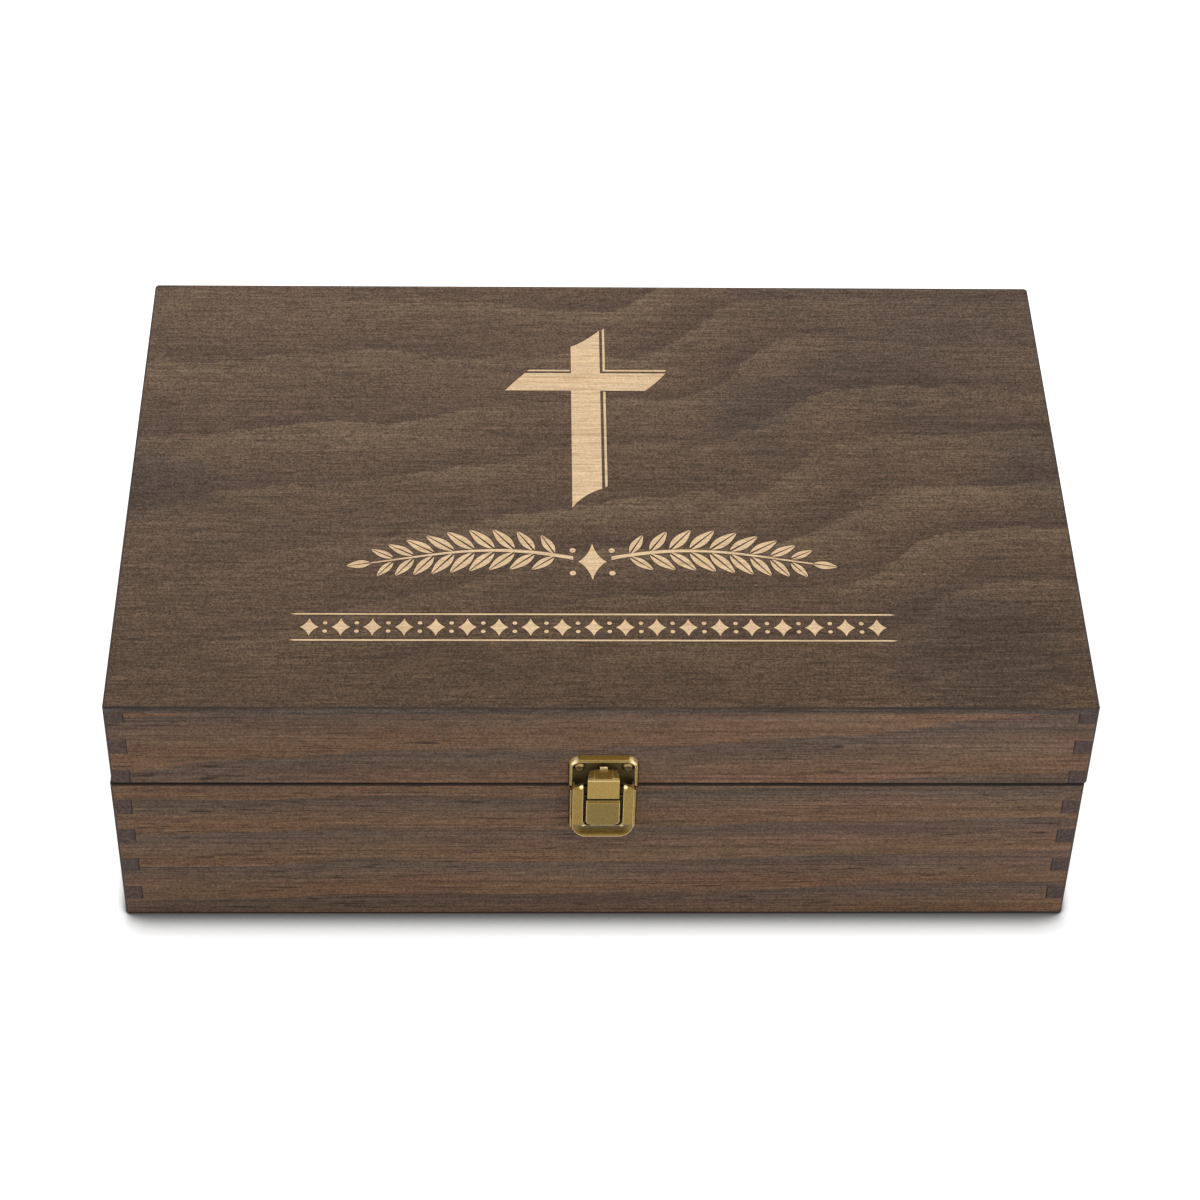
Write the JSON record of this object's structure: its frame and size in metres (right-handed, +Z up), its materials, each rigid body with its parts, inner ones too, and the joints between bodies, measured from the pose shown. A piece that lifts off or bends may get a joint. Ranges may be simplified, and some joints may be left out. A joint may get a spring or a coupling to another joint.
{
  "type": "wooden keepsake box",
  "caption": "Low rectangular wooden box with a hinged lid, finger-jointed corners, a cross on the lid and a brass draw latch in front.",
  "frame": {"origin": "centre of the base's underside, the flat face that the box rests on", "axes": "+X to the right along the length, +Z up, the latch faces -Y and the hinges +Y"},
  "size_m": [0.3506, 0.2435, 0.1117],
  "materials": {
    "lid_veneer": "dark stained veneer, satin",
    "lid_pine": "red-brown stained pine, satin",
    "base_pine": "red-brown stained pine, satin",
    "plywood": "stained plywood, matte",
    "latch_brass": "antique brass plate, worn bright on the edges",
    "hinge_brass": "antique brass plate",
    "screw_brass": "antique brass plate, dull"
  },
  "bodies": {
    "base": {"base_front_board": "base_pine", "base_back_board": "base_pine", "base_left_board": "base_pine", "base_right_board": "base_pine", "base_bottom_panel": "plywood", "left_hinge_base_leaf": "hinge_brass", "left_hinge_pin": "hinge_brass", "right_hinge_base_leaf": "hinge_brass", "right_hinge_pin": "hinge_brass", "base_hinge_screws": "screw_brass", "latch_base_plate": "latch_brass", "latch_plate_screws": "screw_brass", "lever_pin": "latch_brass"},
    "lid": {"lid_front_board": "lid_pine", "lid_back_board": "lid_pine", "lid_left_board": "lid_pine", "lid_right_board": "lid_pine", "lid_top_panel": "lid_veneer", "left_hinge_lid_leaf": "hinge_brass", "right_hinge_lid_leaf": "hinge_brass", "lid_hinge_screws": "screw_brass", "catch_plate": "latch_brass", "catch_plate_screws": "screw_brass"},
    "lever": {"latch_lever": "latch_brass", "hook_pin": "latch_brass"},
    "hook": {"latch_hook": "latch_brass"}
  },
  "joints": [
    {"name": "lid_hinge", "type": "hinge", "parent": "base", "child": "lid", "pos_m": [0, 0.11895, 0.07215], "axis": [-1, 0, 0], "range_deg": [0, 180]},
    {"name": "lever_pivot", "type": "hinge", "parent": "base", "child": "lever", "pos_m": [0.0014, -0.1205, 0.07435], "axis": [-1, 0, 0], "range_deg": [-6, 90]},
    {"name": "hook_pivot", "type": "hinge", "parent": "lever", "child": "hook", "pos_m": [0.0014, -0.12145, 0.07115], "axis": [-1, 0, 0], "range_deg": [-110, 9]}
  ],
  "couplings": [
    {"joint": "hook_pivot", "follows": "lever_pivot", "ratio": -1.2}
  ]
}
